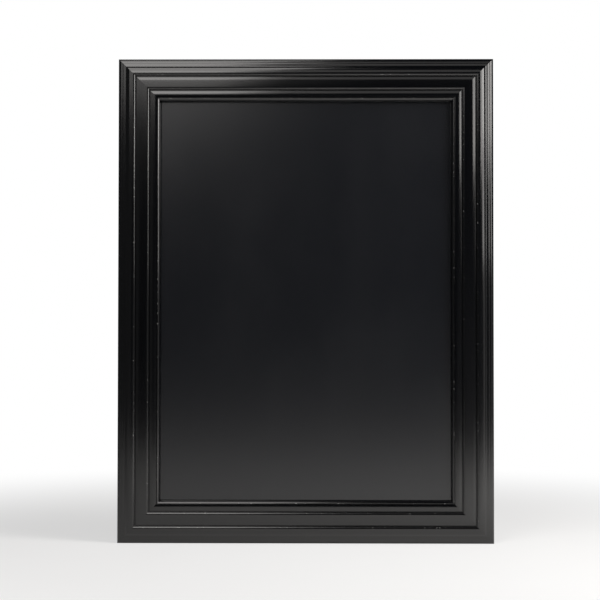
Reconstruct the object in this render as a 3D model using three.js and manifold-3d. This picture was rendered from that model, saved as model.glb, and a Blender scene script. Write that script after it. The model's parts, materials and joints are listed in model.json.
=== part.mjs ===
// A framed menu chalkboard, nominally 70 by 90 cm, hung upright on a wall.
//
// Four lengths of stepped, lacquered moulding are mitred, glued and pinned with V-nails into a frame.
// A thin black writing panel and a hardboard backing lie in the frame's rebate, held by framing points
// pushed into the rebate's wall. Behind each stile a folded steel strap carries a wire D-ring that
// swings on its straight bar, and two rubber bumpers keep the lower corners off the wall.
//
// Millimetres, +Z up, the writing face towards -Y. The origin is the middle of the frame's bottom edge.

import * as THREE from "three";
import { mergeVertices } from "three/addons/utils/BufferGeometryUtils.js";
import Module from "manifold-3d";

const wasm = await Module();
wasm.setup();

// The framed board
const boardWidth = 698;
const boardHeight = 900;

// How finely the round parts are divided
const curveSteps = 8; // along each curve of an outline
const roundSides = 20; // round a screw, a bumper or a bore

// Clearances
const seatGap = 0.3; // between a piece and what it rests on or is driven into
const mitreGap = 0.3; // the glue line between two mitred ends

// The moulding's section, member by member from the outer edge in towards the panel. A width runs inwards
// and a rise out from the wall; slopes are in degrees, at the start and the end of an arc, + for rising
const outerWall = 15;
const arrisWidth = 2;
const arrisRise = 3;
const reedWidth = 5.9;
const reedSlopes = [38, 2];
const reedStepWidth = 0.6;
const reedStepRise = 0.4;
const filletWidth = 3.8;
const filletSlopes = [18, 4];
const coveWidth = 3.2;
const coveSlopes = [4, 40];
const crownWallWidth = 1.5;
const crownWallRise = 1.3;
const crownWidth = 10.9;
const crownSlopes = [31, 0];
const lipWidth = 3.8;
const lipSlopes = [0, -48];
const lipEdgeWidth = 0.7;
const lipEdgeSlopes = [-48, -90];
const quirkDrop = 0.8;
const quirkWidth = 1.1;
const quirkCoveWidth = 1.2;
const quirkCoveSlopes = [52, 15];
const middleShoulderWidth = 4.4;
const middleShoulderSlopes = [15, 10];
const middleEaseWidth = 0.8;
const middleEaseSlopes = [10, 4];
const middleFlatWidth = 13.6;
const middleFlatSlopes = [4, 0];
const innerShoulderWidth = 4.2;
const innerShoulderSlopes = [15, 9];
const innerCrestWidth = 2.7;
const innerCrestSlopes = [9, -3];
const innerFallWidth = 5;
const innerFallSlopes = [-3, -11];
const grooveWallWidth = 0.4;
const grooveDepth = 1.7;
const grooveFlankWidth = 0.8;
const beadWidth = 1.8;
const beadSlopes = [50, -50];
const sightSlopeWidth = 3;
const sightSlopeSlopes = [-50, -64];
const sightEdgeWidth = 1.1;
const sightEdgeSlopes = [-64, -90];
const sectionTurn = 5; // the most that an arc turns in one facet
const rebateWidth = 8;
const rebateDepth = 10;

// The writing panel and the backing behind it
const panelThickness = 3;
const backingThickness = 2.5;
const panelEdgeGap = 1;

// The V-nails across each mitre
const vNailsPerCorner = 2;
const vNailFirst = 20; // the outermost, measured along each rail from the corner
const vNailPitch = 26;
const vNailLeg = 6;
const vNailThickness = 0.8;
const vNailHeight = 10;
const vNailHalfAngle = THREE.MathUtils.degToRad(50);

// The framing points that hold the backing in
const pointsPerStile = 3;
const pointsPerRail = 2;
const pointWidth = 6;
const pointThickness = 0.6;
const pointHold = 8; // length that lies over the backing
const pointSink = 8; // length driven into the moulding
const pointCorner = 1.2;

// The D-ring hangers
const hangerDrop = 190; // from the board's top edge to the ring's bar
const hangerInset = 35; // from the board's outer edge to the strap's centreline
const strapWidth = 12;
const strapThickness = 1;
const strapEndMargin = 7; // from the last screw to the strap's rounded end
const strapFoldGap = 0.2; // between the strap's two layers
const strapNeck = 5.5; // from the bar to where the upper layer lies flat
const ringWire = 2.4;
const ringLeg = 5; // from the ring's bar to the middle of its half round
const ringSideGap = 0.5;
const ringWireGap = 0.4; // between the wire's two ends, inside the fold
const ringWireSteps = 64; // along the wire
const ringWireSides = 6; // in each half of the wire's round
const hangerScrews = 2;
const hangerScrewFirst = 20; // below the ring's bar
const hangerScrewPitch = 15;

// The pan-head screws that hold the straps
const screwShank = 3.2;
const screwLength = 14;
const screwTip = 4;
const screwHead = 6.6;
const screwHeadHeight = 2.2;
const screwRecessArm = 3.6;
const screwRecessWidth = 0.9;
const screwRecessDepth = 1.2;

// The rubber wall bumpers
const bumperDiameter = 11;
const bumperHeight = 5;
const bumperRound = 1.6;
const bumperInset = 22; // from the board's outer edges to the bumper's centre

// Sizes worked out from those above
const lipTotal = lipWidth + lipEdgeWidth;
const quirkTotal = quirkWidth + quirkCoveWidth;
const faceWidth = arrisWidth + reedWidth + reedStepWidth + filletWidth + coveWidth + crownWallWidth
  + crownWidth + lipTotal + quirkTotal + middleShoulderWidth + middleEaseWidth + middleFlatWidth
  + lipTotal + quirkTotal + innerShoulderWidth + innerCrestWidth + innerFallWidth
  + grooveWallWidth + grooveFlankWidth + beadWidth + sightSlopeWidth + sightEdgeWidth;
const backY = outerWall / 2; // the frame's back face
const rebateWall = faceWidth - rebateWidth;
const panelWidth = boardWidth - 2 * (rebateWall + panelEdgeGap);
const panelHeight = boardHeight - 2 * (rebateWall + panelEdgeGap);
const panelFrontY = backY - rebateDepth + seatGap;
const backingFrontY = panelFrontY + panelThickness + seatGap;
const pointFrontY = backingFrontY + backingThickness + seatGap;
const ringBarRadius = ringWire / 2;
const foldInside = ringBarRadius + seatGap;
const foldOutside = foldInside + strapThickness;
const barHeight = seatGap + foldOutside; // the ring's bar above the frame's back
const strapTop = seatGap + 2 * strapThickness + strapFoldGap;
const strapLength = hangerScrewFirst + (hangerScrews - 1) * hangerScrewPitch + strapEndMargin;
const ringCorner = ringSideGap + ringBarRadius; // the wire bends as it leaves the fold
const ringHalfWidth = strapWidth / 2 + ringCorner;
const ringReach = ringLeg + ringHalfWidth;
const pilotRadius = screwShank / 2 + seatGap;
const pilotDepth = screwLength - strapTop; // a clearance deeper than the screw's tip
const ringRestTilt = Math.asin((strapTop + seatGap + ringBarRadius - barHeight) / ringReach);

const lacquer = new THREE.MeshStandardMaterial({ color: 0x0e0e0f, roughness: 0.28, metalness: 0 });
const writingFace = new THREE.MeshStandardMaterial({ color: 0x121314, roughness: 0.5, metalness: 0 });
const hardboard = new THREE.MeshStandardMaterial({ color: 0x6b4a30, roughness: 0.85, metalness: 0 });
const zincSteel = new THREE.MeshStandardMaterial({ color: 0xa8abad, roughness: 0.35, metalness: 1 });
const nickel = new THREE.MeshStandardMaterial({ color: 0xc4c2bc, roughness: 0.18, metalness: 1 });
const rubber = new THREE.MeshStandardMaterial({ color: 0x1a1a1a, roughness: 0.8, metalness: 0 });

const board = new THREE.Group();

function add(name, geometry, material) {
  const mesh = new THREE.Mesh(geometry, material);
  mesh.name = name;
  board.add(mesh);
  return mesh;
}

// A closed geometry as a solid that can be joined and cut.
function solid(geometry) {
  const bare = geometry.clone();
  bare.deleteAttribute("normal");
  bare.deleteAttribute("uv");
  const merged = mergeVertices(bare, 1e-4);
  return new wasm.Manifold(new wasm.Mesh({
    numProp: 3,
    vertProperties: new Float32Array(merged.attributes.position.array),
    triVerts: new Uint32Array(merged.index.array),
  }));
}

// A solid as a geometry again, with flat-shaded faces.
function geometryOf(made) {
  const mesh = made.getMesh();
  const shared = new THREE.BufferGeometry();
  shared.setAttribute("position", new THREE.BufferAttribute(new Float32Array(mesh.vertProperties), 3));
  shared.setIndex(new THREE.BufferAttribute(new Uint32Array(mesh.triVerts), 1));
  const flat = shared.toNonIndexed();
  flat.computeVertexNormals();
  return flat;
}

// An outline extruded by a depth, with the outline's plane laid flat: its x stays x, its y runs
// along z, and the depth runs from y = 0 towards +y.
function plate(outline, depth) {
  const made = new THREE.ExtrudeGeometry(outline, { depth, bevelEnabled: false, curveSegments: curveSteps });
  return made.translate(0, 0, -depth).rotateX(Math.PI / 2);
}

// The moulding

// The section as a shape: x runs in from the outer edge, y up from the back face.
function mouldingSection() {
  const outline = new THREE.Shape();
  let x = 0;
  let y = 0;

  function straight(across, up) {
    x += across;
    y += up;
    outline.lineTo(x, y);
  }
  // An arc between two slopes, in equal turns.
  function bend(across, slopes) {
    const [first, last] = slopes.map((slope) => THREE.MathUtils.degToRad(slope));
    const radius = across / (Math.sin(first) - Math.sin(last));
    const turns = Math.ceil(Math.abs(slopes[1] - slopes[0]) / sectionTurn);
    for (let turn = 1; turn <= turns; turn += 1) {
      const slope = first + (last - first) * turn / turns;
      outline.lineTo(
        x + radius * (Math.sin(first) - Math.sin(slope)),
        y + radius * (Math.cos(slope) - Math.cos(first)),
      );
    }
    x += across;
    y += radius * (Math.cos(last) - Math.cos(first));
  }
  // The rounded lip of a member, the fall behind it and the quirk at its foot.
  function lipAndQuirk() {
    bend(lipWidth, lipSlopes);
    bend(lipEdgeWidth, lipEdgeSlopes);
    straight(0, -quirkDrop);
    straight(quirkWidth, 0);
    bend(quirkCoveWidth, quirkCoveSlopes);
  }

  outline.moveTo(x, y);
  straight(0, outerWall);
  straight(arrisWidth, arrisRise);
  bend(reedWidth, reedSlopes);
  straight(reedStepWidth, reedStepRise);
  bend(filletWidth, filletSlopes);
  bend(coveWidth, coveSlopes);
  straight(crownWallWidth, crownWallRise);
  bend(crownWidth, crownSlopes);
  lipAndQuirk();
  bend(middleShoulderWidth, middleShoulderSlopes);
  bend(middleEaseWidth, middleEaseSlopes);
  bend(middleFlatWidth, middleFlatSlopes);
  lipAndQuirk();
  bend(innerShoulderWidth, innerShoulderSlopes);
  bend(innerCrestWidth, innerCrestSlopes);
  bend(innerFallWidth, innerFallSlopes);
  straight(grooveWallWidth, -grooveDepth);
  straight(grooveFlankWidth, grooveDepth);
  bend(beadWidth, beadSlopes);
  bend(sightSlopeWidth, sightSlopeSlopes);
  bend(sightEdgeWidth, sightEdgeSlopes);
  straight(0, rebateDepth - y);
  straight(-rebateWidth, 0);
  straight(0, -rebateDepth);
  outline.closePath();
  return outline;
}

// One length of moulding, mitred at both ends: centred on x, outer edge along z = 0, sight edge at +z.
// The section is extruded one unit long, and each point is then carried out to the mitre that ends its line.
function mouldingLength(length) {
  const made = new THREE.ExtrudeGeometry(mouldingSection(), {
    depth: 1,
    steps: 1,
    bevelEnabled: false,
    curveSegments: curveSteps,
  });
  const at = made.attributes.position;
  const halfGap = mitreGap / 2 * Math.SQRT2;
  for (let i = 0; i < at.count; i += 1) {
    const inward = at.getX(i);
    const up = at.getY(i);
    const end = at.getZ(i) < 0.5 ? -1 : 1;
    at.setXYZ(i, end * (length / 2 - inward - halfGap), backY - up, inward);
  }
  return solid(made);
}

// A V-nail seen from the back: its apex is at the origin and it opens towards +z.
function chevron(leg, thickness, height) {
  const sin = Math.sin(vNailHalfAngle);
  const cos = Math.cos(vNailHalfAngle);
  const half = thickness / 2;
  const outline = new THREE.Shape([
    new THREE.Vector2(0, -half / sin),
    new THREE.Vector2(leg * sin + half * cos, leg * cos - half * sin),
    new THREE.Vector2(leg * sin - half * cos, leg * cos + half * sin),
    new THREE.Vector2(0, half / sin),
    new THREE.Vector2(-leg * sin + half * cos, leg * cos + half * sin),
    new THREE.Vector2(-leg * sin - half * cos, leg * cos - half * sin),
  ]);
  return plate(outline, height);
}

// The two rails and two stiles differ only in length, in the turn about y that places them, and in
// what is let into them.
const rail = { length: boardWidth, x: 0, points: pointsPerRail };
const stile = { length: boardHeight, z: boardHeight / 2, points: pointsPerStile };
const sides = [
  { ...rail, name: "bottom_rail", turn: 0, z: 0 },
  { ...rail, name: "top_rail", turn: Math.PI, z: boardHeight },
  { ...stile, name: "left_stile", turn: Math.PI / 2, x: -boardWidth / 2 },
  { ...stile, name: "right_stile", turn: -Math.PI / 2, x: boardWidth / 2 },
];

// Where the framing points stand along a side, spread evenly over the panel's edge.
function pointPlaces(side) {
  const edge = side.length - 2 * rebateWall;
  return Array.from({ length: side.points }, (_, i) => edge * ((i + 0.5) / side.points - 0.5));
}

function vNailPlaces() {
  return Array.from({ length: vNailsPerCorner }, (_, i) => vNailFirst + i * vNailPitch);
}

// Where the hanger screws are driven, in board coordinates: x from the middle and z from the bottom edge.
const hangerX = boardWidth / 2 - hangerInset;
const hangerZ = boardHeight - hangerDrop;

function hangerScrewDrops() {
  return Array.from({ length: hangerScrews }, (_, i) => hangerScrewFirst + i * hangerScrewPitch);
}

// The slots and pilot holes cut into a side, in the side's own coordinates.
function pockets(side) {
  const cutters = [];
  for (const from of vNailPlaces()) {
    for (const end of [-1, 1]) {
      const slot = chevron(vNailLeg + seatGap, vNailThickness + 2 * seatGap, vNailHeight + 2 * seatGap);
      slot.rotateY(-end * Math.PI / 4);
      slot.translate(end * (side.length / 2 - from), backY - vNailHeight - 1.5 * seatGap, from);
      cutters.push(slot);
    }
  }
  for (const along of pointPlaces(side)) {
    const slot = new THREE.BoxGeometry(
      pointWidth + 2 * seatGap,
      pointThickness + 2 * seatGap,
      pointSink + 2 * seatGap,
    );
    slot.translate(along, pointFrontY + pointThickness / 2, rebateWall - pointSink / 2);
    cutters.push(slot);
  }
  if (side.name.endsWith("stile")) {
    const towardsTop = side.turn > 0 ? -1 : 1;
    for (const drop of hangerScrewDrops()) {
      const bore = new THREE.CylinderGeometry(pilotRadius, pilotRadius, 2 * pilotDepth, roundSides);
      cutters.push(bore.translate(towardsTop * (hangerZ - drop - boardHeight / 2), backY, hangerInset));
    }
  }
  return cutters;
}

for (const side of sides) {
  let made = mouldingLength(side.length);
  for (const cutter of pockets(side)) {
    made = made.subtract(solid(cutter));
  }
  const mesh = add(side.name, geometryOf(made), lacquer);
  mesh.rotation.y = side.turn;
  mesh.position.set(side.x, 0, side.z);
}

// V-nails, driven in from the back across each mitre with their apex on the joint
const corners = [
  { name: "bottom_left", x: -1, z: 0, turn: Math.PI / 4 },
  { name: "bottom_right", x: 1, z: 0, turn: -Math.PI / 4 },
  { name: "top_left", x: -1, z: 1, turn: 3 * Math.PI / 4 },
  { name: "top_right", x: 1, z: 1, turn: -3 * Math.PI / 4 },
];

for (const corner of corners) {
  vNailPlaces().forEach((from, i) => {
    const made = chevron(vNailLeg, vNailThickness, vNailHeight);
    const mesh = add(`v_nail_${corner.name}_${i + 1}`, made, zincSteel);
    mesh.rotation.y = corner.turn;
    mesh.position.set(
      corner.x * (boardWidth / 2 - from),
      backY - vNailHeight - seatGap / 2,
      corner.z ? boardHeight - from : from,
    );
  });
}

// The writing panel and its backing
function flatSheet(thickness, frontY) {
  const made = new THREE.BoxGeometry(panelWidth, thickness, panelHeight);
  return made.translate(0, frontY + thickness / 2, boardHeight / 2);
}

add("writing_panel", flatSheet(panelThickness, panelFrontY), writingFace);
add("backing_board", flatSheet(backingThickness, backingFrontY), hardboard);

// A framing point: a flat steel tab, pointed where it is driven in and rounded where it lies on the
// backing. It lies along z with z = 0 at the rebate's wall.
function framingPoint() {
  const half = pointWidth / 2;
  const outline = new THREE.Shape();
  outline.moveTo(0, -pointSink);
  outline.lineTo(half, -pointSink / 2);
  outline.lineTo(half, pointHold - pointCorner);
  outline.absarc(half - pointCorner, pointHold - pointCorner, pointCorner, 0, Math.PI / 2, false);
  outline.absarc(pointCorner - half, pointHold - pointCorner, pointCorner, Math.PI / 2, Math.PI, false);
  outline.lineTo(-half, -pointSink / 2);
  outline.closePath();
  return plate(outline, pointThickness);
}

for (const side of sides) {
  pointPlaces(side).forEach((along, i) => {
    const made = framingPoint().translate(along, pointFrontY, rebateWall);
    const mesh = add(`framing_point_${side.name}_${i + 1}`, made, zincSteel);
    mesh.rotation.y = side.turn;
    mesh.position.set(side.x, 0, side.z);
  });
}

// The hangers

// The strap from the side: x runs down the strap from the ring's bar, y away from the frame's back.
// One strip runs up the back, round the bar and down again over itself.
function strapSection() {
  const outline = new THREE.Shape();
  const lower = seatGap;
  const upper = lower + strapThickness + strapFoldGap;
  const half = strapThickness / 2;
  const drop = barHeight + foldInside - upper;
  const radius = ((strapNeck / 2) ** 2 + (drop / 2) ** 2) / drop; // of the neck's two arcs
  const turn = Math.asin(strapNeck / 2 / radius);
  const crest = barHeight + foldInside + half - radius;
  const foot = upper + half + radius;
  outline.moveTo(strapLength, lower);
  outline.lineTo(strapLength, lower + strapThickness);
  outline.lineTo(0, lower + strapThickness);
  outline.absarc(0, barHeight, foldInside, -Math.PI / 2, Math.PI / 2, true);
  outline.absarc(0, crest, radius - half, Math.PI / 2, Math.PI / 2 - turn, true);
  outline.absarc(strapNeck, foot, radius + half, -Math.PI / 2 - turn, -Math.PI / 2, false);
  outline.lineTo(strapLength, upper);
  outline.lineTo(strapLength, upper + strapThickness);
  outline.lineTo(strapNeck, upper + strapThickness);
  outline.absarc(strapNeck, foot, radius - half, -Math.PI / 2, -Math.PI / 2 - turn, true);
  outline.absarc(0, crest, radius + half, Math.PI / 2 - turn, Math.PI / 2, false);
  outline.absarc(0, barHeight, foldOutside, Math.PI / 2, -Math.PI / 2, false);
  outline.closePath();
  return outline;
}

// The strap seen from behind: straight sides and a rounded lower end.
function strapOutline() {
  const half = strapWidth / 2;
  const top = 2 * foldOutside;
  const outline = new THREE.Shape();
  outline.moveTo(half, top);
  outline.lineTo(-half, top);
  outline.lineTo(-half, half - strapLength);
  outline.absarc(0, half - strapLength, half, Math.PI, 2 * Math.PI, false);
  outline.closePath();
  return outline;
}

// The folded strap with its bar at z = 0 and the frame's back at y = 0, running down -z.
function hangerStrap() {
  const strip = new THREE.ExtrudeGeometry(strapSection(), {
    depth: strapWidth,
    bevelEnabled: false,
    curveSegments: curveSteps,
  });
  strip.translate(0, 0, -strapWidth / 2).rotateY(Math.PI / 2);
  let made = solid(strip).intersect(solid(plate(strapOutline(), barHeight + 2 * foldOutside)));
  for (const drop of hangerScrewDrops()) {
    const bore = new THREE.CylinderGeometry(pilotRadius, pilotRadius, 4 * strapTop, roundSides);
    made = made.subtract(solid(bore.translate(0, strapTop, -drop)));
  }
  return geometryOf(made);
}

// The ring's wire as a line in space: along the bar, down one leg, round the D and back up to the bar.
class RingLine extends THREE.Curve {
  constructor() {
    super();
    const straight = ringHalfWidth - ringCorner;
    const line = new THREE.Path();
    line.moveTo(ringWireGap / 2, 0);
    line.lineTo(straight, 0);
    line.absarc(straight, -ringCorner, ringCorner, Math.PI / 2, 0, true);
    line.lineTo(ringHalfWidth, -ringLeg);
    line.absarc(0, -ringLeg, ringHalfWidth, 0, -Math.PI, true);
    line.lineTo(-ringHalfWidth, -ringCorner);
    line.absarc(-straight, -ringCorner, ringCorner, Math.PI, Math.PI / 2, true);
    line.lineTo(-ringWireGap / 2, 0);
    this.line = line;
  }

  getPoint(t, target = new THREE.Vector3()) {
    const at = this.line.getPointAt(t);
    return target.set(at.x, 0, at.y);
  }
}

function dRing() {
  const section = new THREE.Shape();
  section.absarc(0, 0, ringBarRadius, 0, 2 * Math.PI, false);
  return new THREE.ExtrudeGeometry(section, {
    steps: ringWireSteps,
    curveSegments: ringWireSides,
    extrudePath: new RingLine(),
  });
}

// A pan-head screw, its head's underside at y = 0 and its shank running towards -y.
function panHeadScrew() {
  const profile = new THREE.Path();
  profile.moveTo(0, -screwLength);
  profile.lineTo(screwShank / 2, screwTip - screwLength);
  profile.lineTo(screwShank / 2, 0);
  profile.lineTo(screwHead / 2, 0);
  profile.quadraticCurveTo(screwHead / 2, screwHeadHeight, screwHead / 4, screwHeadHeight);
  profile.lineTo(0, screwHeadHeight);
  let made = solid(new THREE.LatheGeometry(profile.getPoints(curveSteps), roundSides));
  for (const turn of [0, Math.PI / 2]) {
    const arm = new THREE.BoxGeometry(screwRecessArm, 2 * screwRecessDepth, screwRecessWidth);
    made = made.subtract(solid(arm.rotateY(turn).translate(0, screwHeadHeight, 0)));
  }
  return geometryOf(made);
}

// A rubber bumper standing on the frame's back at y = 0, its rim rounded.
function wallBumper() {
  const radius = bumperDiameter / 2;
  const profile = new THREE.Path();
  profile.moveTo(0, 0);
  profile.lineTo(radius, 0);
  profile.lineTo(radius, bumperHeight - bumperRound);
  profile.absarc(radius - bumperRound, bumperHeight - bumperRound, bumperRound, 0, Math.PI / 2, false);
  profile.lineTo(0, bumperHeight);
  return new THREE.LatheGeometry(profile.getPoints(curveSteps), roundSides);
}

for (const [hand, across] of [["left", -1], ["right", 1]]) {
  add(`hanger_strap_${hand}`, hangerStrap(), zincSteel).position.set(across * hangerX, backY, hangerZ);

  const ring = add(`d_ring_${hand}`, dRing(), nickel);
  ring.rotation.x = ringRestTilt;
  ring.position.set(across * hangerX, backY + barHeight, hangerZ);

  hangerScrewDrops().forEach((drop, i) => {
    const screw = add(`hanger_screw_${hand}_${i + 1}`, panHeadScrew(), zincSteel);
    screw.position.set(across * hangerX, backY + strapTop + seatGap, hangerZ - drop);
  });

  const bumper = add(`wall_bumper_${hand}`, wallBumper(), rubber);
  bumper.position.set(across * (boardWidth / 2 - bumperInset), backY + seatGap, bumperInset);
}

export default board;
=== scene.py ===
# %% [markdown]
# A framed menu chalkboard, modelled and finished in Blender
#
# The object is a plain black writing panel in a wide, stepped, black-lacquered frame. Behind it are a
# hardboard backing, the steel points that hold it in, two D-ring hangers and two rubber bumpers.
# Black gloss has hardly any colour of its own: what the eye reads is the shape of the reflections.
# So most of the care here goes into the moulding's section, drawn from true arcs, and into the soft
# lights that it mirrors. The sheets, the steel and the rubber come after it.

# %% Load the fixed frame and keep its box
import json
import math

import bmesh
import bpy
from mathutils import Matrix, Vector


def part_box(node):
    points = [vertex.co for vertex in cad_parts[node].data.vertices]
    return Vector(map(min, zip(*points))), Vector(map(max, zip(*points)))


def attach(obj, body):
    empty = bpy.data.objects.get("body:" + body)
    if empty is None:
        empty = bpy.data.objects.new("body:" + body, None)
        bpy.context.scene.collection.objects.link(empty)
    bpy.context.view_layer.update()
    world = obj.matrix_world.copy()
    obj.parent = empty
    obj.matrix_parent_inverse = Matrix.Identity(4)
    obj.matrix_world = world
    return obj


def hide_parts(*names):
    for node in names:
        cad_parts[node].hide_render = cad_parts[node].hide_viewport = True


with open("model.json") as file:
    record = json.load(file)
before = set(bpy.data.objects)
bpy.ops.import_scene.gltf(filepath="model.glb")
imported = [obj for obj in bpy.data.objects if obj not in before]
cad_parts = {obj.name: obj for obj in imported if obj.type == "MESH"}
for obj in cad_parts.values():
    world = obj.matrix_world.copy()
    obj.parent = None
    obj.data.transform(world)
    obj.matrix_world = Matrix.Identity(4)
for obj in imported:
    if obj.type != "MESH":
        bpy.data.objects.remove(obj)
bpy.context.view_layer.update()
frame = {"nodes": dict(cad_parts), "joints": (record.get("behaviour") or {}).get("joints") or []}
bpy.ops.object.select_all(action="DESELECT")

MM = 0.001
BOARD = "board"
width = round(-2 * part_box("left_stile")[0].x, 4)
height = round(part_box("bottom_rail")[0].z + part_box("top_rail")[1].z, 4)
back_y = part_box("bottom_rail")[1].y
print(f"board {width / MM:.0f} by {height / MM:.0f} mm, its back at y = {back_y / MM:.1f} mm")

# %% [markdown]
# The camera
#
# The photo is nearly square on. Its bottom edge is a little wider than its top edge and its right side
# a little taller than its left, so the camera stands slightly low and slightly to the right, looking
# back at the middle of the board. A long lens from almost three metres away keeps the sides nearly
# parallel. The camera is turned by pointing its -Z axis along the line of sight, then rolled by a hair.

# %% Camera
CAMERA_DISTANCE = 2.7
CAMERA_AZIMUTH = math.radians(0.56)
CAMERA_ELEVATION = math.radians(-1.29)
CAMERA_ROLL = math.radians(0.04)
CAMERA_AIM = Vector((-10.5 * MM, 0, height / 2 + 0.9 * MM))
CAMERA_LENS = 86.92

toward_camera = Vector((
    math.sin(CAMERA_AZIMUTH) * math.cos(CAMERA_ELEVATION),
    -math.cos(CAMERA_AZIMUTH) * math.cos(CAMERA_ELEVATION),
    math.sin(CAMERA_ELEVATION),
))
bpy.ops.object.camera_add(location=CAMERA_AIM + CAMERA_DISTANCE * toward_camera)
camera = bpy.context.object
camera.name = "camera"
camera.data.lens = CAMERA_LENS
camera.rotation_euler = (-toward_camera).to_track_quat("-Z", "Y").to_euler()
camera.rotation_euler.rotate_axis("Z", CAMERA_ROLL)
bpy.context.scene.camera = camera
print("camera at", [round(c, 3) for c in camera.location])

# %% [markdown]
# Shader maths as Python
#
# A material is a graph of nodes, and wiring it by hand hides the sum it works out. Here a Wire holds
# one output socket and knows how to add, subtract, multiply and raise to a power, so a mask can be
# written as one expression. A Finish is a material under construction: its node method adds
# any node from its type, its settings and what feeds its sockets.

# %% Wire and Finish
class Wire:
    """One output socket of a material's node tree, which can be used in sums."""

    def __init__(self, finish, socket):
        self.finish = finish
        self.socket = socket

    def maths(self, operation, left, right=0.0):
        return self.finish.node("ShaderNodeMath", {0: left, 1: right}, operation=operation)

    def __add__(self, other):
        return self.maths("ADD", self, other)

    def __sub__(self, other):
        return self.maths("SUBTRACT", self, other)

    def __rsub__(self, other):
        return self.maths("SUBTRACT", other, self)

    def __mul__(self, other):
        return self.maths("MULTIPLY", self, other)

    def __pow__(self, other):
        return self.maths("POWER", self, other)

    def __abs__(self):
        return self.maths("ABSOLUTE", self)

    __radd__ = __add__
    __rmul__ = __mul__

    def sine(self):
        return self.maths("SINE", self)

    def least(self, other):
        return self.maths("MINIMUM", self, other)


class Finish:
    """A material, or a world, being built: a node tree and short ways to add to it."""

    def __init__(self, name, kept_in=bpy.data.materials):
        self.material = kept_in.new(name)
        self.material.use_nodes = True
        self.nodes = self.material.node_tree.nodes
        self.links = self.material.node_tree.links
        self.nodes.clear()

    def node(self, kind, feeds=None, output=0, **settings):
        """Adds a node: its settings first, then the values or the wires of its sockets."""
        made = self.nodes.new(kind)
        for name, value in settings.items():
            setattr(made, name, value)
        for key, value in (feeds or {}).items():
            if isinstance(value, Wire):
                self.links.new(value.socket, made.inputs[key])
            elif value is not None:
                made.inputs[key].default_value = value
        return Wire(self, made.outputs[output]) if made.outputs else None

    def place(self):
        """Where a point is on the object, in metres."""
        return self.node("ShaderNodeTexCoord", output="Object")

    def axes(self, vector):
        """The three numbers of a vector."""
        split = self.nodes.new("ShaderNodeSeparateXYZ")
        self.links.new(vector.socket, split.inputs[0])
        return [Wire(self, socket) for socket in split.outputs]

    def stretched(self, scale):
        """The object's coordinates multiplied by a different number along each axis."""
        return self.node("ShaderNodeMapping", {"Vector": self.place(), "Scale": scale})

    def noise(self, scale, detail=3.0, roughness=0.55, vector=None):
        """Fractal noise; a scale of 100 has features of about 10 mm."""
        return self.node("ShaderNodeTexNoise", {
            "Vector": vector or self.place(), "Scale": scale, "Detail": detail, "Roughness": roughness})

    def band(self, value, low, high, to_low=0.0, to_high=1.0):
        """Carries a value from one range smoothly to another, and holds it there."""
        feeds = {"Value": value, 1: low, 2: high, 3: to_low, 4: to_high}
        return self.node("ShaderNodeMapRange", feeds, interpolation_type="SMOOTHSTEP")

    def mix(self, factor, first, second):
        feeds = {0: factor, 6: first, 7: second}
        return self.node("ShaderNodeMix", feeds, output=2, data_type="RGBA")

    def bump(self, height, distance, strength=1.0, normal=None):
        feeds = {"Height": height, "Distance": distance, "Strength": strength, "Normal": normal}
        return self.node("ShaderNodeBump", feeds)

    def principled(self, **feeds):
        """Ends the material in a Principled shader. Underscores in names stand for spaces."""
        named = {name.replace("_", " "): value for name, value in feeds.items()}
        shader = self.node("ShaderNodeBsdfPrincipled", named)
        self.node("ShaderNodeOutputMaterial", {"Surface": shader})
        return self.material


print("shader helpers ready")

# %% [markdown]
# Modelling helpers
#
# Every piece is drawn in edit mode. The Pen starts a mesh from a single vertex and pulls it along:
# straight runs with extrude, round runs with spin. That is how a section is drawn on paper, and it
# keeps each member of the moulding a true arc. Blender's spin turns left-handed about its axis, so the
# helper that calls it changes the sign.

# %% Modelling helpers
SAME_POINT = 0.002 * MM


def label(piece, name):
    """Gives a piece and its mesh the same name."""
    piece.name = name
    piece.data.name = name
    return piece


def choose(piece):
    """Selects one piece alone and makes it the active one, which is what operators work on."""
    bpy.ops.object.select_all(action="DESELECT")
    piece.select_set(True)
    bpy.context.view_layer.objects.active = piece


def open_vertex(name, point):
    """Starts a new mesh with one vertex at a point, and leaves it open in edit mode."""
    bpy.ops.object.select_all(action="DESELECT")
    bpy.ops.mesh.primitive_plane_add(size=MM, location=(0, 0, 0))
    piece = label(bpy.context.object, name)
    bpy.ops.object.mode_set(mode="EDIT")
    bpy.ops.mesh.select_mode(type="VERT")
    bpy.ops.mesh.merge(type="CENTER")
    bpy.ops.transform.translate(value=point)
    return piece


def pull(move):
    """Extrudes what is selected."""
    bpy.ops.mesh.extrude_region_move(TRANSFORM_OT_translate={"value": move})


def turn(angle, centre, axis, steps):
    """Spins what is selected, right-handed about the axis."""
    bpy.ops.mesh.spin(steps=steps, dupli=False, angle=-angle, center=centre, axis=axis)


def pick(piece, kind, test):
    """Selects the edges or the faces that pass a test, in edit mode."""
    bpy.ops.mesh.select_mode(type=kind)
    bpy.ops.mesh.select_all(action="DESELECT")
    mesh = bmesh.from_edit_mesh(piece.data)
    for element in {"EDGE": mesh.edges, "FACE": mesh.faces}[kind]:
        if test(element):
            element.select_set(True)
    bmesh.update_edit_mesh(piece.data)


def finish_mesh(piece, smooth=30.0):
    """Leaves edit mode with the doubles merged and the faces pointing out."""
    bpy.ops.mesh.select_all(action="SELECT")
    bpy.ops.mesh.remove_doubles(threshold=SAME_POINT)
    bpy.ops.mesh.normals_make_consistent(inside=False)
    bpy.ops.object.mode_set(mode="OBJECT")
    bpy.ops.object.shade_smooth_by_angle(angle=math.radians(smooth))
    return piece


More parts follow.
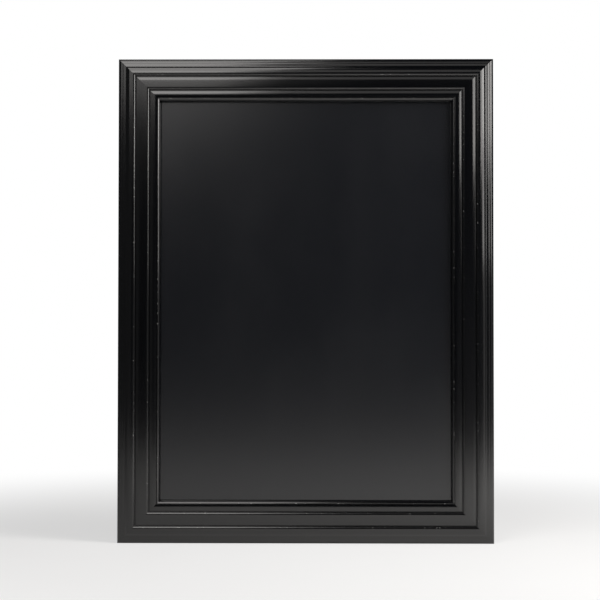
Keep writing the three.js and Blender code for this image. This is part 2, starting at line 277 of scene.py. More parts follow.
def modify(piece, kind, **settings):
    """Adds a modifier and applies it."""
    choose(piece)
    bpy.ops.object.modifier_add(type=kind)
    modifier = piece.modifiers[-1]
    for name, value in settings.items():
        setattr(modifier, name, value)
    bpy.ops.object.modifier_apply(modifier=modifier.name)


def soften(piece, amount, angle=35.0):
    """Rounds every edge sharper than an angle, in degrees."""
    modify(piece, "BEVEL", width=amount, segments=2, limit_method="ANGLE",
           angle_limit=math.radians(angle), harden_normals=False)
    bpy.ops.object.shade_smooth_by_angle(angle=math.radians(30))


def carve(piece, cutter):
    """Takes one closed piece out of another and throws the cutter away."""
    modify(piece, "BOOLEAN", operation="DIFFERENCE", solver="MANIFOLD", object=cutter)
    bpy.data.objects.remove(cutter, do_unlink=True)
    if not piece.data.polygons:
        raise RuntimeError(f"the cut left nothing of {piece.name}")


def settle(piece, node, finishes, body=BOARD):
    """Gives a finished piece its materials, its body and the node that it stands for."""
    piece.data.materials.clear()
    for material in finishes:
        piece.data.materials.append(material)
    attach(piece, body)
    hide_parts(node)


def turned_copy(piece, name, angle, move):
    """Copies a piece with its own mesh, turned right-handed about the Y axis and then moved."""
    choose(piece)
    bpy.ops.object.duplicate()
    copy = label(bpy.context.object, name)
    bpy.ops.object.mode_set(mode="EDIT")
    bpy.ops.mesh.select_all(action="SELECT")
    # With no window, rotate turns the other way, so the angle's sign is changed.
    bpy.ops.transform.rotate(value=-angle, orient_axis="Y", center_override=(0, 0, 0))
    bpy.ops.transform.translate(value=move)
    bpy.ops.object.mode_set(mode="OBJECT")
    return copy


print("modelling helpers ready")

# %% [markdown]
# The Pen
#
# A section lives in a flat plane: u runs across it and v rises out of it. The Pen remembers where it
# is, so a moulding can be drawn member by member, the way a joiner's drawing gives it. A curved member
# is a bend: it sets off at one slope, ends at another and has a run. That fixes its radius, which is
# the run divided by the change in the slope's sine. The slope is also what matters for the look,
# because a mirror tilted by an angle looks twice that angle to the side.

# %% Pen
ARC_STEP = math.radians(6)
ROUND_STEPS = 48


class Pen:
    """Draws a section as a chain of edges from an origin."""

    def __init__(self, name, origin, across, up, u=0.0, v=0.0):
        self.origin = Vector(origin)
        self.across = Vector(across)
        self.up = Vector(up)
        self.u = u
        self.v = v
        self.piece = open_vertex(name, self.at(u, v))

    def at(self, u, v):
        return self.origin + self.across * u + self.up * v

    def line(self, run, rise):
        pull(self.across * run + self.up * rise)
        self.u += run
        self.v += rise

    def line_to(self, u, v):
        self.line(u - self.u, v - self.v)

    def swing(self, angle, u, v):
        """An arc about a centre, counter-clockwise where the angle is positive."""
        steps = max(3, math.ceil(abs(angle) / ARC_STEP))
        turn(angle, self.at(u, v), self.across.cross(self.up), steps)
        run, rise = self.u - u, self.v - v
        self.u = u + run * math.cos(angle) - rise * math.sin(angle)
        self.v = v + run * math.sin(angle) + rise * math.cos(angle)

    def bend(self, first, last, run):
        """An arc over a run, from one slope to another, in degrees."""
        first, last = math.radians(first), math.radians(last)
        radius = run / (math.sin(first) - math.sin(last))
        self.swing(last - first, self.u + radius * math.sin(first), self.v - radius * math.cos(first))

    def dome(self, rise):
        """An arc that climbs a rise and ends level on the v axis."""
        radius = (self.u ** 2 + rise ** 2) / (2 * rise)
        self.swing(math.asin(self.u / radius), 0, self.v + rise - radius)

    def close(self):
        """Joins the last point to the first and fills the outline."""
        bpy.ops.mesh.select_all(action="SELECT")
        bpy.ops.mesh.remove_doubles(threshold=SAME_POINT)
        bpy.ops.mesh.edge_face_add()

    def spin_round(self):
        """Turns an open outline all the way round its v axis."""
        bpy.ops.mesh.select_all(action="SELECT")
        turn(2 * math.pi, self.origin, self.up, ROUND_STEPS)
        bpy.ops.mesh.select_all(action="SELECT")
        bpy.ops.mesh.remove_doubles(threshold=SAME_POINT)


print("pen ready")

# %% [markdown]
# The moulding's section
#
# From a chamfered arris the face climbs over a reed, a fillet and a cove to the crown. Two rounded lips
# follow, each with a sharp fall and a narrow quirk behind it, and each leads on to a broad, nearly flat
# shoulder. A V groove and a bead end it at the sight edge, and the rebate behind holds the panel. Every
# member mirrors its own part of the room as one bright or dark line, so the widths were read off the
# photo across a stile, and the slopes follow from what each line shows.

# %% Section of the moulding
OUTER_WALL = 15.0 * MM
ARRIS = 2.0 * MM
LIP_RUN = 3.8 * MM
LIP_FALL = 0.7 * MM
QUIRK_DROP = 0.8 * MM
QUIRK_WIDTH = 1.1 * MM
QUIRK_COVE = 1.2 * MM
FACE_WIDTH = 79.3 * MM
REBATE_WIDTH = 8.0 * MM
REBATE_DEPTH = 10.0 * MM


def lip_and_quirk(pen):
    """A lip that rolls over, its fall, and the quirk behind it with its small cove."""
    pen.bend(0, -48, LIP_RUN)
    pen.bend(-48, -90, LIP_FALL)
    pen.line(0, -QUIRK_DROP)
    pen.line(QUIRK_WIDTH, 0)
    pen.bend(52, 15, QUIRK_COVE)


def draw_section(pen):
    """Draws the moulding from its outer edge to the sight edge and back through the rebate."""
    pen.line(0, OUTER_WALL)
    pen.line(ARRIS, 3.0 * MM)  # the chamfered arris
    pen.bend(38, 2, 5.9 * MM)  # the reed
    pen.line(0.6 * MM, 0.4 * MM)
    pen.bend(18, 4, 3.8 * MM)  # the fillet
    pen.bend(4, 40, 3.2 * MM)  # the cove
    pen.line(1.5 * MM, 1.3 * MM)
    pen.bend(31, 0, 10.9 * MM)  # the crown
    lip_and_quirk(pen)
    pen.bend(15, 10, 4.4 * MM)  # the middle shoulder, and the ease to its flat
    pen.bend(10, 4, 0.8 * MM)
    pen.bend(4, 0, 13.6 * MM)
    lip_and_quirk(pen)
    pen.bend(15, 9, 4.2 * MM)  # the inner shoulder, its crest and its fall
    pen.bend(9, -2, 2.7 * MM)
    pen.bend(-2, -9, 5.4 * MM)
    pen.line(0.4 * MM, -1.7 * MM)  # the V groove
    pen.line(0.6 * MM, 1.4 * MM)
    pen.bend(50, -30, 0.7 * MM)  # the bead, rolling down to the sight edge
    pen.bend(-30, -42, 2.0 * MM)
    pen.bend(-42, -64, 1.5 * MM)
    pen.bend(-64, -82, FACE_WIDTH - pen.u)
    pen.line_to(pen.u, REBATE_DEPTH)
    pen.line(-REBATE_WIDTH, 0)
    pen.line(0, -REBATE_DEPTH)
    pen.close()


# %% Lengths of moulding
SOFT_EDGE = 0.18 * MM
SHARP = math.radians(25)
MITRE_GAP = 0.03 * MM
MITRE_SNAP = 0.001 * MM


def moulding_length(name, length):
    """One length with square ends, drawn as the bottom rail lies."""
    pen = Pen(name, (-length / 2, back_y, 0), (0, 0, 1), (0, -1, 0))
    draw_section(pen)
    pull((length, 0, 0))
    pick(pen.piece, "EDGE", is_sharp_along)
    bpy.ops.mesh.bevel(offset=SOFT_EDGE, segments=2, clamp_overlap=True)
    return finish_mesh(pen.piece)


def mitre(piece, length, angle, move):
    """Cuts both ends of a side at 45 degrees, a hair short of the corner.

    Bisect snaps points near its plane onto it. Its usual 0.1 mm would leave slivers here.
    """
    turned = Matrix.Rotation(angle, 3, "Y")
    choose(piece)
    bpy.ops.object.mode_set(mode="EDIT")
    for end in (-1, 1):
        bpy.ops.mesh.select_all(action="SELECT")
        corner = turned @ Vector((end * (length / 2 - MITRE_GAP), 0, 0)) + Vector(move)
        facing = turned @ Vector((end, 0, 1))
        bpy.ops.mesh.bisect(plane_co=corner, plane_no=facing, use_fill=True, clear_outer=True,
                            threshold=MITRE_SNAP)
    finish_mesh(piece)


def is_sharp_along(edge):
    """Whether an edge runs along x between two faces that meet sharply."""
    first, last = edge.verts
    along = abs(first.co.x - last.co.x) > (first.co - last.co).length / 2
    return along and len(edge.link_faces) == 2 and edge.calc_face_angle() > SHARP


rail_blank = moulding_length("rail_blank", width)
stile_blank = moulding_length("stile_blank", height)
print("moulding has", len(rail_blank.data.vertices), "points a length")

# %% [markdown]
# The four sides
#
# The rails and the stiles are the same moulding in two lengths. Each is copied with its own mesh,
# turned to its side of the board and slid into place, as it would be in a frame clamp. The turn is
# about the y axis, which points out of the board's back. The slots for the steel pieces are cut while
# the ends are still square, and the mitres come last, so that every run makes the same mesh.

# %% Place the four sides
SIDES = {
    "bottom_rail": (rail_blank, 0.0, (0, 0, 0)),
    "top_rail": (rail_blank, math.pi, (0, 0, height)),
    "left_stile": (stile_blank, math.pi / 2, (-width / 2, 0, height / 2)),
    "right_stile": (stile_blank, -math.pi / 2, (width / 2, 0, height / 2)),
}
NAILS = [node for node in frame["nodes"] if node.startswith("v_nail")]
POINTS = [node for node in frame["nodes"] if node.startswith("framing_point")]
SLOT_ROOM = 0.15 * MM


def slot_cutter(node):
    """A copy of a steel piece, swollen by the room that its slot leaves round it."""
    cutter = frame["nodes"][node].copy()
    cutter.data = cutter.data.copy()
    bpy.context.collection.objects.link(cutter)
    choose(cutter)
    bpy.ops.object.mode_set(mode="EDIT")
    bpy.ops.mesh.select_all(action="SELECT")
    bpy.ops.mesh.remove_doubles(threshold=SAME_POINT)
    bpy.ops.transform.shrink_fatten(value=SLOT_ROOM, use_even_offset=True)
    bpy.ops.object.mode_set(mode="OBJECT")
    return cutter


def meets(node, side):
    """Whether a steel piece is driven into a side."""
    if node.startswith("framing_point"):
        return side in node
    return side.split("_")[0] in node.replace("v_nail_", "").split("_")


rails = {}
for side, (blank, angle, move) in SIDES.items():
    rails[side] = turned_copy(blank, f"{side}_moulding", angle, move)
    for node in NAILS + POINTS:
        if meets(node, side):
            carve(rails[side], slot_cutter(node))
    mitre(rails[side], width if blank is rail_blank else height, angle, move)
for blank in (rail_blank, stile_blank):
    bpy.data.objects.remove(blank, do_unlink=True)
print({side: len(piece.data.polygons) for side, piece in rails.items()})

# %% [markdown]
# Black lacquer
#
# Sprayed lacquer over sanded wood is near black, so its look is all in the gloss: a little orange peel
# from the gun, a trace of grain that telegraphs through, and a slightly duller film where it ran thin.
# The roughness and a very low bump carry those. The lips that stand proud get rubbed in handling, so
# in patches they are a touch lighter and duller, with a few pale specks where the film has chipped.
# The least distance to the board's outline is the same measure on every side, so one formula finds
# each lip on all four. The frame's back and its rebate have only a thin matt coat.

# %% Lacquer
LIPS = (30.5 * MM, 56.3 * MM, 74.3 * MM)
LIP_SPREAD = 1.1 * MM


def edge_distance(finish):
    """How far a point lies in from the board's outline."""
    x, _, z = finish.axes(finish.place())
    sideways = width / 2 - abs(x)
    upright = z.least(height - z)
    return sideways.least(upright)


def lacquer(name, grain_axis):
    finish = Finish(name)
    fine = [260.0, 260.0, 260.0]
    fine[grain_axis] = 9.0
    grain = finish.noise(1.0, detail=4.0, vector=finish.stretched(fine))
    peel = finish.noise(420.0, detail=2.0)
    cloud = finish.noise(11.0, detail=3.0)
    inward = edge_distance(finish)
    rubbed = 0.0
    for lip in LIPS:
        rubbed = finish.band(abs(inward - lip), LIP_SPREAD, 0.0) + rubbed
    patches = finish.band(finish.noise(55.0, detail=4.0), 0.62, 0.74)
    wear = rubbed * patches
    specks = rubbed * finish.band(finish.noise(240.0, detail=1.0), 0.66, 0.72)
    colour = finish.mix(wear * 0.4, (0.0010, 0.0012, 0.0018, 1), (0.012, 0.012, 0.012, 1))
    colour = finish.mix(specks, colour, (0.2, 0.2, 0.195, 1))
    roughness = 0.125 + grain * 0.02 + cloud * 0.03 + wear * 0.1
    surface = finish.bump(peel, 0.004 * MM, 0.5, finish.bump(grain, 0.006 * MM, 0.4))
    return finish.principled(Base_Color=colour, Roughness=roughness, Normal=surface, IOR=1.7)


def back_coat(name, grain_axis):
    """The thin matt coat on the frame's back and in its rebate."""
    finish = Finish(name)
    fine = [420.0, 420.0, 420.0]
    fine[grain_axis] = 14.0
    grain = finish.noise(1.0, detail=5.0, roughness=0.65, vector=finish.stretched(fine))
    cloud = finish.noise(16.0, detail=4.0)
    pores = finish.band(grain, 0.56, 0.7)
    thin = pores * finish.band(cloud, 0.45, 0.62)
    colour = finish.mix(thin * 0.55, (0.011, 0.011, 0.011, 1), (0.075, 0.052, 0.033, 1))
    roughness = 0.55 + grain * 0.22
    return finish.principled(
        Base_Color=colour, Roughness=roughness, Normal=finish.bump(grain, 0.12 * MM, 0.8), IOR=1.45)


GRAIN_AXES = {"rail": 0, "stile": 2}
lacquers = {kind: lacquer(f"black_lacquer_{kind}", axis) for kind, axis in GRAIN_AXES.items()}
back_coats = {kind: back_coat(f"back_coat_{kind}", axis) for kind, axis in GRAIN_AXES.items()}
for side, piece in rails.items():
    kind = side.split("_")[1]
    settle(piece, side, finishes=[lacquers[kind], back_coats[kind]])
    for face in piece.data.polygons:
        upright = abs(face.normal.y) < 0.5
        by_the_back = abs(face.center.y - back_y) < 0.99 * REBATE_DEPTH
        depth_in = min(width / 2 - abs(face.center.x), face.center.z, height - face.center.z)
        in_rebate = upright and by_the_back and depth_in > ARRIS
        face.material_index = int(face.normal.y > 0.7 or in_rebate)
print("sides lacquered")

# %% [markdown]
# The writing panel
#
# It is a 3 mm sheet of fibreboard, coated on its face with a smooth, semi-matt black that chalk or a
# chalk pen takes to. Its brown core shows only at the sawn edges, inside the rebate. The coat is
# rolled on, so it has a fine even tooth, and wiping leaves broad, hardly visible clouds of duller
# black, which are put into its colour and its roughness. The backing behind it is bare hardboard.

# %% Writing panel and backing
SHEET_EDGE = 0.25 * MM
PANEL_MARGIN = 4.0 * MM
BACKING_MARGIN = 3.0 * MM
SCREEN_WAVE = 2 * math.pi / (1.6 * MM)


def sheet(name, node, inset):
    """A flat sheet in a node's box, its edges eased and its two faces inset by a narrow margin."""
    low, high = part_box(node)
    bpy.ops.object.select_all(action="DESELECT")
    bpy.ops.mesh.primitive_cube_add(size=1, location=(low + high) / 2, scale=high - low)
    piece = label(bpy.context.object, name)
    bpy.ops.object.transform_apply(location=True, rotation=True, scale=True)
    bpy.ops.object.mode_set(mode="EDIT")
    bpy.ops.mesh.select_all(action="SELECT")
    bpy.ops.mesh.bevel(offset=SHEET_EDGE, segments=3)
    pick(piece, "FACE", lambda face: abs(face.normal.y) > 0.99)
    bpy.ops.mesh.inset(thickness=inset)
    return finish_mesh(piece)


def writing_coat():
    finish = Finish("writing_coat")
    tooth = finish.noise(900.0, detail=2.0)
    wipes = finish.noise(1.0, detail=4.0, roughness=0.6, vector=finish.stretched((3.2, 3.2, 1.7)))
    haze = finish.band(wipes, 0.42, 0.66)
    colour = finish.mix(haze, (0.0033, 0.0040, 0.0062, 1), (0.0044, 0.0051, 0.0074, 1))
    roughness = 0.22 + haze * 0.03 + tooth * 0.02
    return finish.principled(
        Base_Color=colour, Roughness=roughness, Normal=finish.bump(tooth, 0.02 * MM, 0.5), IOR=1.8)


def fibre_core(name, dark, light, screened):
    """Pressed wood fibre; its back may carry the print of the press's wire screen."""
    finish = Finish(name)
    fibres = finish.noise(1.0, detail=6.0, roughness=0.7, vector=finish.stretched((500.0, 500.0, 160.0)))
    flecks = finish.band(finish.noise(330.0, detail=3.0, roughness=0.7), 0.58, 0.72)
    cloud = finish.noise(7.0, detail=3.0)
    tone = fibres * 0.6 + cloud * 0.4
    colour = finish.mix(finish.band(tone, 0.3, 0.7), dark, light)
    colour = finish.mix(flecks * 0.35, colour, (0.33, 0.22, 0.125, 1))
    height_map = fibres
    if screened:
        x, _, z = finish.axes(finish.place())
        weave = (x * SCREEN_WAVE).sine() * (z * SCREEN_WAVE).sine()
        height_map = weave * 0.5 + fibres * 0.5
    surface = finish.bump(height_map, 0.16 * MM, 0.8)
    return finish.principled(Base_Color=colour, Roughness=0.72 + fibres * 0.18, Normal=surface, IOR=1.4)


core = fibre_core("fibreboard_core", (0.12, 0.065, 0.034, 1), (0.2, 0.115, 0.062, 1), screened=False)
panel = sheet("chalk_panel", "writing_panel", PANEL_MARGIN)
settle(panel, "writing_panel", finishes=[writing_coat(), core])
for face in panel.data.polygons:
    face.material_index = int(face.normal.y > -0.7)

backing = sheet("hardboard_backing", "backing_board", BACKING_MARGIN)
backing_face = fibre_core(
    "screened_hardboard", (0.085, 0.042, 0.02, 1), (0.165, 0.09, 0.045, 1), screened=True)
settle(backing, "backing_board", finishes=[backing_face])
print("sheets made")

# %% [markdown]
# Steel, nickel and rubber
#
# The small hardware is bright zinc plate, except the rings, which are polished nickel, and the rubber
# bumpers. Zinc plate has a faint cloudy bloom and fine draw lines; nickel wire is smoother and warmer.
# Both are metals, so their colour is the colour of what they mirror.

# %% Metal and rubber
def plated(name, colour, bloom_colour, rough, streak):
    finish = Finish(name)
    bloom = finish.noise(240.0, detail=4.0, roughness=0.6)
    lines = finish.noise(1.0, detail=3.0, vector=finish.stretched((2600.0, 2600.0, 210.0)))
    shade = finish.mix(finish.band(bloom, 0.35, 0.68), colour, bloom_colour)
    roughness = rough + bloom * 0.12 + lines * streak
    surface = finish.bump(lines, 0.006 * MM, 0.6)
    return finish.principled(Base_Color=shade, Metallic=1.0, Roughness=roughness, Normal=surface)


def bumper_rubber():
    finish = Finish("bumper_rubber")
    skin = finish.noise(1500.0, detail=3.0)
    dust = finish.band(finish.noise(300.0, detail=4.0), 0.5, 0.75)
    colour = finish.mix(dust * 0.5, (0.013, 0.013, 0.013, 1), (0.04, 0.039, 0.037, 1))
    surface = finish.bump(skin, 0.04 * MM, 0.6)
    return finish.principled(Base_Color=colour, Roughness=0.62 + skin * 0.2, Normal=surface, IOR=1.5)


zinc = plated("zinc_plate", (0.60, 0.61, 0.63, 1), (0.50, 0.51, 0.54, 1), 0.2, 0.1)
nickel = plated("nickel_plate", (0.70, 0.67, 0.62, 1), (0.66, 0.62, 0.56, 1), 0.1, 0.04)
rubber = bumper_rubber()
for node in NAILS:
    nail = frame["nodes"][node]
    nail.data.materials.clear()
    nail.data.materials.append(zinc)
print("metals and rubber mixed,", len(NAILS), "V-nails plated")

# %% [markdown]
# Framing points
#
# A framing point is a flat spring-steel tab, shot into the rebate's wall by a gun so that its free end
# presses on the backing. Its driven end comes to a point and its free end is rounded. One tab is drawn
# flat, given its thickness and softened at its edges. The ten are copies of it, each set where its CAD
# node stands.

# %% Framing points
POINT_WIDTH = 6.0 * MM
POINT_REACH = 8.0 * MM
POINT_CORNER = 1.6 * MM
POINT_SOFT = 0.1 * MM


def framing_point():
    """One tab as it stands in the bottom rail, with the rebate's wall at z = 0."""
    low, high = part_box("framing_point_bottom_rail_1")
    half = POINT_WIDTH / 2
    pen = Pen("framing_point", (0, low.y, 0), (1, 0, 0), (0, 0, 1), 0, -POINT_REACH)
    pen.line_to(half, -POINT_REACH / 2)
    pen.line_to(half, POINT_REACH - POINT_CORNER)
    pen.swing(math.pi / 2, half - POINT_CORNER, pen.v)
    pen.line_to(POINT_CORNER - half, POINT_REACH)
    pen.swing(math.pi / 2, pen.u, POINT_REACH - POINT_CORNER)
    pen.line_to(-half, -POINT_REACH / 2)
    pen.line_to(0, -POINT_REACH)
    pen.close()
    pull((0, high.y - low.y, 0))
    finish_mesh(pen.piece)
    soften(pen.piece, POINT_SOFT)
    return pen.piece


point = framing_point()
for node in POINTS:
    side = "_".join(node.split("_")[2:4])
    low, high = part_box(node)
    centre = (low + high) / 2
    made = turned_copy(point, f"{node}_tab", SIDES[side][1], (centre.x, 0, centre.z))
    settle(made, node, finishes=[zinc])
bpy.data.objects.remove(point, do_unlink=True)
print(len(POINTS), "framing points set")

# %% [markdown]
# D-ring hangers
#
# A hanger is one strip of steel folded in two, with a wire ring held in the fold. The strip is drawn
# from the side: up its lower layer, round the fold, through the neck where the two layers close, and
# down again. Drawing the neck as two arcs about shared centres keeps the metal the same thickness all
# the way. The strip is then pulled to its width, and its far end is rounded by a wide bevel.

# %% Hanger straps
STRIP = 1.0 * MM
STRIP_GAP = 0.2 * MM
EYE = 1.5 * MM
NECK = 5.5 * MM
SCREW_DROPS = (20.0 * MM, 35.0 * MM)
SCREW_HOLE = 1.9 * MM
END_ROUND = 0.97
STRIP_SOFT = 0.12 * MM
NEAR = 0.01 * MM
swings = {joint["child"]: Vector(joint["pos_m"]) for joint in frame["joints"]}
strap_low, strap_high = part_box("hanger_strap_left")
bar = swings["left_ring"]
STRAP_HALF = (strap_high.x - strap_low.x) / 2
STRAP_LENGTH = bar.z - strap_low.z


def hanger_strap():
    """The left strap, drawn about its ring's bar: u runs down the strap and v away from the frame."""
    lower = strap_low.y - bar.y
    upper = lower + STRIP + STRIP_GAP
    outer = EYE + STRIP
    drop = EYE + STRIP / 2 - (upper + STRIP / 2)
    radius = ((NECK / 2) ** 2 + (drop / 2) ** 2) / drop
    angle = math.asin(NECK / 2 / radius)
    crest = EYE + STRIP / 2 - radius
    foot = upper + STRIP / 2 + radius

    origin = (bar.x - STRAP_HALF, bar.y, bar.z)
    pen = Pen("hanger_strap", origin, (0, 0, -1), (0, 1, 0), STRAP_LENGTH, lower)
    pen.line_to(0, lower)
    pen.swing(-math.pi, 0, 0)
    pen.swing(-angle, 0, crest)
    pen.swing(angle, NECK, foot)
    pen.line_to(STRAP_LENGTH, upper + STRIP)
    pen.line_to(STRAP_LENGTH, upper)
    pen.line_to(NECK, upper)
    pen.swing(-angle, NECK, foot)
    pen.swing(angle, 0, crest)
    pen.swing(math.pi, 0, 0)
    pen.line_to(STRAP_LENGTH, lower + STRIP)
    pen.line_to(STRAP_LENGTH, lower)
    pen.close()
    pull((2 * STRAP_HALF, 0, 0))
    pick(pen.piece, "EDGE", is_end_corner)
    bpy.ops.mesh.bevel(offset=END_ROUND * STRAP_HALF, segments=12)
    finish_mesh(pen.piece)
    for drop in SCREW_DROPS:
        bpy.ops.mesh.primitive_cylinder_add(
            vertices=ROUND_STEPS, radius=SCREW_HOLE, depth=4 * outer,
            location=(bar.x, bar.y, bar.z - drop), rotation=(math.pi / 2, 0, 0))
        carve(pen.piece, bpy.context.object)
    soften(pen.piece, STRIP_SOFT, angle=50)
    return pen.piece


def is_end_corner(edge):
    """Whether an edge is one of the four square corners at the strap's far end."""
    first, last = edge.verts
    at_end = max(first.co.z, last.co.z) < bar.z - STRAP_LENGTH + NEAR
    through = abs(first.co.x - last.co.x) < NEAR and abs(first.co.y - last.co.y) > STRIP / 2
    return at_end and through


left_strap = hanger_strap()
right_strap = turned_copy(left_strap, "right_hanger_strap", 0, (-2 * bar.x, 0, 0))
label(left_strap, "left_hanger_strap")
settle(left_strap, "hanger_strap_left", finishes=[zinc])
settle(right_strap, "hanger_strap_right", finishes=[zinc])
print("strap of", len(left_strap.data.polygons), "faces")

# %% [markdown]
# The rings
#
# The ring starts as an open circle of points, the wire's section, at one of its two ends inside the
# fold. Pulling it gives a straight run and spinning it a bend: along the bar, down the leg, round the
# D and home. The ends stay a hair apart, as cut wire does, and are capped. Each ring rides on its own
# body, because it swings.

# %% D-rings
WIRE = 1.2 * MM
WIRE_GAP = 0.4 * MM
WIRE_SIDES = 28
CORNER_STEPS = 10
BOW_STEPS = 44
RING_LEG = 5.0 * MM
RING_BEND = 0.5 * MM + WIRE
RING_HALF = STRAP_HALF + RING_BEND
RING_REACH = RING_LEG + RING_HALF
ring_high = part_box("d_ring_left")[1]
ring_tilt = math.asin((ring_high.y - WIRE - bar.y) / RING_REACH)


def d_ring(name, pivot):
    """A wire ring on its bar, hanging and tilted out over the strap."""
    side = Vector((1, 0, 0))
    down = Vector((0, math.sin(ring_tilt), -math.cos(ring_tilt)))
    facing = side.cross(down)

    bpy.ops.object.select_all(action="DESELECT")
    bpy.ops.mesh.primitive_circle_add(
        vertices=WIRE_SIDES, radius=WIRE,
        location=pivot + side * WIRE_GAP / 2, rotation=(0, math.pi / 2, 0))
    piece = label(bpy.context.object, name)
    bpy.ops.object.transform_apply(location=True, rotation=True, scale=True)
    bpy.ops.object.mode_set(mode="EDIT")
    bpy.ops.mesh.select_all(action="SELECT")
    straight = RING_HALF - RING_BEND
    pull(side * (straight - WIRE_GAP / 2))
    turn(math.pi / 2, pivot + side * straight + down * RING_BEND, facing, CORNER_STEPS)
    pull(down * (RING_LEG - RING_BEND))
    turn(math.pi, pivot + down * RING_LEG, facing, BOW_STEPS)
    pull(down * (RING_BEND - RING_LEG))
    turn(math.pi / 2, pivot - side * straight + down * RING_BEND, facing, CORNER_STEPS)
    pull(side * (straight - WIRE_GAP / 2))
    bpy.ops.mesh.select_all(action="DESELECT")
    bpy.ops.mesh.select_mode(type="EDGE")
    bpy.ops.mesh.select_non_manifold(extend=False)
    bpy.ops.mesh.fill()
    return finish_mesh(piece, smooth=40)


for hand in ("left", "right"):
    ring = d_ring(f"{hand}_wire_ring", swings[f"{hand}_ring"])
    settle(ring, f"d_ring_{hand}", body=f"{hand}_ring", finishes=[nickel])
print("rings tilted out", round(math.degrees(ring_tilt), 1), "degrees")

# %% [markdown]
# Screws and bumpers
#
# Both are turned parts: half of the outline is drawn from the axis outward, then spun all the way
# round. The screw's cross recess is cut by two tapered bars, made from cubes whose buried faces are
# drawn in. The bumper has a slight draft on its side, a rounded shoulder and a dished face.

# %% Screws and bumpers
HEAD_RADIUS = 3.3 * MM
SHANK_RADIUS = 1.6 * MM
SHANK_LENGTH = 14.0 * MM
TIP_LENGTH = 4.0 * MM
HEAD_RIM = 0.6 * MM
RECESS_ARM = 1.9 * MM
RECESS_HALF_WIDTH = 0.5 * MM
RECESS_DEPTH = 1.3 * MM
RECESS_TAPER = 0.45
SCREW_SOFT = 0.1 * MM
BUMPER_DRAFT = 0.2 * MM
BUMPER_SHOULDER = 1.5 * MM
BUMPER_RIM = 1.0 * MM
BUMPER_DISH = (0.8 * MM, 0.25 * MM)


def pan_head_screw():
    """The screw at the top of the left strap."""
    low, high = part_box("hanger_screw_left_1")
    seat = low.y + SHANK_LENGTH
    centre = Vector(((low.x + high.x) / 2, seat, (low.z + high.z) / 2))
    top = high.y - seat
    pen = Pen("pan_head_screw", centre, (1, 0, 0), (0, 1, 0), 0, -SHANK_LENGTH)
    pen.line_to(SHANK_RADIUS, TIP_LENGTH - SHANK_LENGTH)
    pen.line_to(SHANK_RADIUS, 0)
    pen.line_to(HEAD_RADIUS, 0)
    pen.line(0, HEAD_RIM)
    pen.dome(top - HEAD_RIM)
    pen.spin_round()
    finish_mesh(pen.piece)
    for angle in (math.pi / 4, -math.pi / 4):
        bpy.ops.object.select_all(action="DESELECT")
        bpy.ops.mesh.primitive_cube_add(
            size=1, location=centre + Vector((0, top, 0)), rotation=(0, angle, 0),
            scale=(2 * RECESS_ARM, 2 * RECESS_DEPTH, 2 * RECESS_HALF_WIDTH))
        bar_cutter = bpy.context.object
        bpy.ops.object.transform_apply(location=True, rotation=True, scale=True)
        bpy.ops.object.mode_set(mode="EDIT")
        pick(bar_cutter, "FACE", lambda face: face.normal.y < -0.9)
        bpy.ops.transform.resize(value=(RECESS_TAPER, 1, RECESS_TAPER))
        bpy.ops.object.mode_set(mode="OBJECT")
        carve(pen.piece, bar_cutter)
    soften(pen.piece, SCREW_SOFT, angle=40)
    return pen.piece, centre


def wall_bumper():
    """The left bumper, with its flat side against the frame's back."""
    low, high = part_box("wall_bumper_left")
    radius = (high.x - low.x) / 2
    tall = high.y - low.y
    centre = ((low.x + high.x) / 2, low.y, (low.z + high.z) / 2)
    pen = Pen("wall_bumper", centre, (1, 0, 0), (0, 1, 0))
    pen.line_to(radius, 0)
    pen.line_to(radius - BUMPER_DRAFT, tall - BUMPER_SHOULDER)
    pen.swing(math.pi / 2, pen.u - BUMPER_SHOULDER, pen.v)
    pen.line(-BUMPER_RIM, 0)
    pen.line(-BUMPER_DISH[0], -BUMPER_DISH[1])
    pen.line_to(0, pen.v)
    pen.spin_round()
    finish_mesh(pen.piece, smooth=45)
    return pen.piece


screw, screw_centre = pan_head_screw()
for hand in ("left", "right"):
    for number in (1, 2):
        node = f"hanger_screw_{hand}_{number}"
        low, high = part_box(node)
        move = (low + high) / 2 - screw_centre
        made = turned_copy(screw, f"{node}_driven", 0, (move.x, 0, move.z))
        settle(made, node, finishes=[zinc])
bpy.data.objects.remove(screw, do_unlink=True)

left_bumper = wall_bumper()
low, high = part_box("wall_bumper_left")
right_bumper = turned_copy(left_bumper, "right_bumper", 0, (-(low.x + high.x), 0, 0))
label(left_bumper, "left_bumper")
settle(left_bumper, "wall_bumper_left", finishes=[rubber])
settle(right_bumper, "wall_bumper_right", finishes=[rubber])
print("screws and bumpers placed")

# %% [markdown]
# The studio
#
# A black mirror shows its surroundings, so the lights are placed by what each band of the frame
# reflects. The floor is white and lit on its right by a lamp that the lacquer doesn't mirror, so the
# lower half of the board shows a soft grey. The room in front is dark, which is the black in the
# middle, with a faint glow along the horizon on the right. Two soft lights high on the left cloud the
# panel's upper half. Tall ones on the right draw the bright lines down the right stile and along the
# lips of the left one. What the camera sees directly, and what the metal at the back reflects, is
# plain white.

# %% Floor
FLOOR_FRONT = 2.1
FLOOR_SIDE = 2.6
FLOOR_BACK = 3.0
FADE_FROM = 0.5
FADE_TO = 1.6


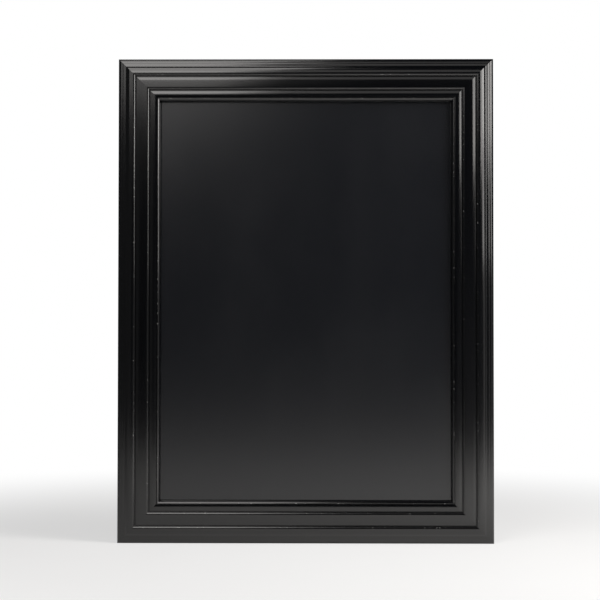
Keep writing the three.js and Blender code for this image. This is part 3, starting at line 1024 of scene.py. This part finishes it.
def floor_paint():
    """White board; towards its rim the camera sees it fade into the white of the background."""
    finish = Finish("studio_floor")
    x, y, _ = finish.axes(finish.place())
    from_board = (x * x + y * y) ** 0.5
    colour = finish.mix(finish.noise(3.0, detail=2.0), (0.82, 0.82, 0.82, 1), (0.86, 0.86, 0.855, 1))
    paint = finish.node("ShaderNodeBsdfDiffuse", {"Color": colour})
    white = finish.node("ShaderNodeEmission", {"Color": (1, 1, 1, 1), "Strength": 1.0})
    camera_ray = finish.node("ShaderNodeLightPath", output="Is Camera Ray")
    fade = finish.band(from_board, FADE_FROM, FADE_TO, 0.55, 1.0)
    seen = finish.node("ShaderNodeMixShader", {0: camera_ray * fade, 1: paint, 2: white})
    finish.node("ShaderNodeOutputMaterial", {"Surface": seen})
    return finish.material


bpy.ops.object.select_all(action="DESELECT")
bpy.ops.mesh.primitive_plane_add(size=1, location=(0, (FLOOR_BACK - FLOOR_FRONT) / 2, 0))
floor = bpy.context.object
floor.name = "floor"
floor.scale = (2 * FLOOR_SIDE, FLOOR_BACK + FLOOR_FRONT, 1)
bpy.ops.object.transform_apply(location=True, rotation=True, scale=True)
floor.data.materials.append(floor_paint())


# %% World and lamps
LAMP_COLOUR = (1.0, 0.975, 0.95)
ROOM_FRONT = 0.012
HORIZON = 0.06
WALL_LEFT = 0.05
ROOM_BACK = 0.9


def softbox(name, location, aim, size, watts, mirrored=True):
    """An area lamp turned to face a point. The lacquer mirrors it only where it is asked to."""
    bpy.ops.object.light_add(type="AREA", location=location)
    lamp = bpy.context.object
    lamp.name = name
    lamp.data.shape = "RECTANGLE"
    lamp.data.size, lamp.data.size_y = size
    lamp.data.energy = watts
    lamp.data.color = LAMP_COLOUR
    lamp.rotation_euler = (Vector(aim) - Vector(location)).to_track_quat("-Z", "Y").to_euler()
    lamp.visible_camera = False
    lamp.visible_glossy = mirrored


room = Finish("studio", bpy.data.worlds)
bpy.context.scene.world = room.material
direction = room.node("ShaderNodeTexCoord", output="Generated")
sideways, out_of_back, upward = room.axes(direction)
rightward = room.band(sideways, -0.2, 0.15)
level = room.band(abs(upward + 0.05), 0.16, 0.0)
behind = room.band(out_of_back, 0.8, 0.95)
leftward = room.band(sideways, -0.2, -0.5)
brightness = rightward * level * HORIZON + leftward * WALL_LEFT + ROOM_FRONT + behind * ROOM_BACK
around = room.node("ShaderNodeBackground", {"Color": (1, 1, 1, 1), "Strength": brightness})
backdrop = room.node("ShaderNodeBackground", {"Color": (1, 1, 1, 1), "Strength": 1.0})
seen_directly = room.node("ShaderNodeLightPath", output="Is Camera Ray")
mirrored = room.node("ShaderNodeLightPath", output="Is Glossy Ray")
through = room.node("ShaderNodeLightPath", output="Is Transmission Ray")
white_where = seen_directly + through + mirrored * behind
both = room.node("ShaderNodeMixShader", {0: white_where, 1: around, 2: backdrop})
room.node("ShaderNodeOutputWorld", {"Surface": both})

softbox("right_softbox", (1.35, -0.73, 1.42), (0.3, 0, 0.95), (0.5, 1.05), 11.5)
softbox("right_skirt", (1.35, -0.73, 0.74), (0.3, 0, 0.6), (0.5, 0.3), 1.2)
softbox("right_fill", (1.06, -1.08, 1.36), (0.3, 0, 0.9), (0.42, 1.05), 5)
softbox("right_low", (1.6, -0.6, 0.34), (0.2, 0, 0.34), (0.7, 0.66), 0.4)
softbox("left_softbox", (-0.55, -1.45, 2.45), (-0.2, 0, 0.6), (0.9, 2.3), 17.5)
softbox("left_scrim", (-1.3, -2.3, 1.98), (-0.2, 0, 0.9), (2.4, 1.5), 13.6)
softbox("overhead", (1.6, -0.7, 1.7), (1.25, -0.7, 0), (0.8, 0.8), 26, mirrored=False)
softbox("right_scrim", (0.35, -1.2, 1.62), (0.2, 0, 0.5), (0.8, 0.5), 0.6)

bpy.context.scene.view_settings.view_transform = "Standard"
print("studio lit")
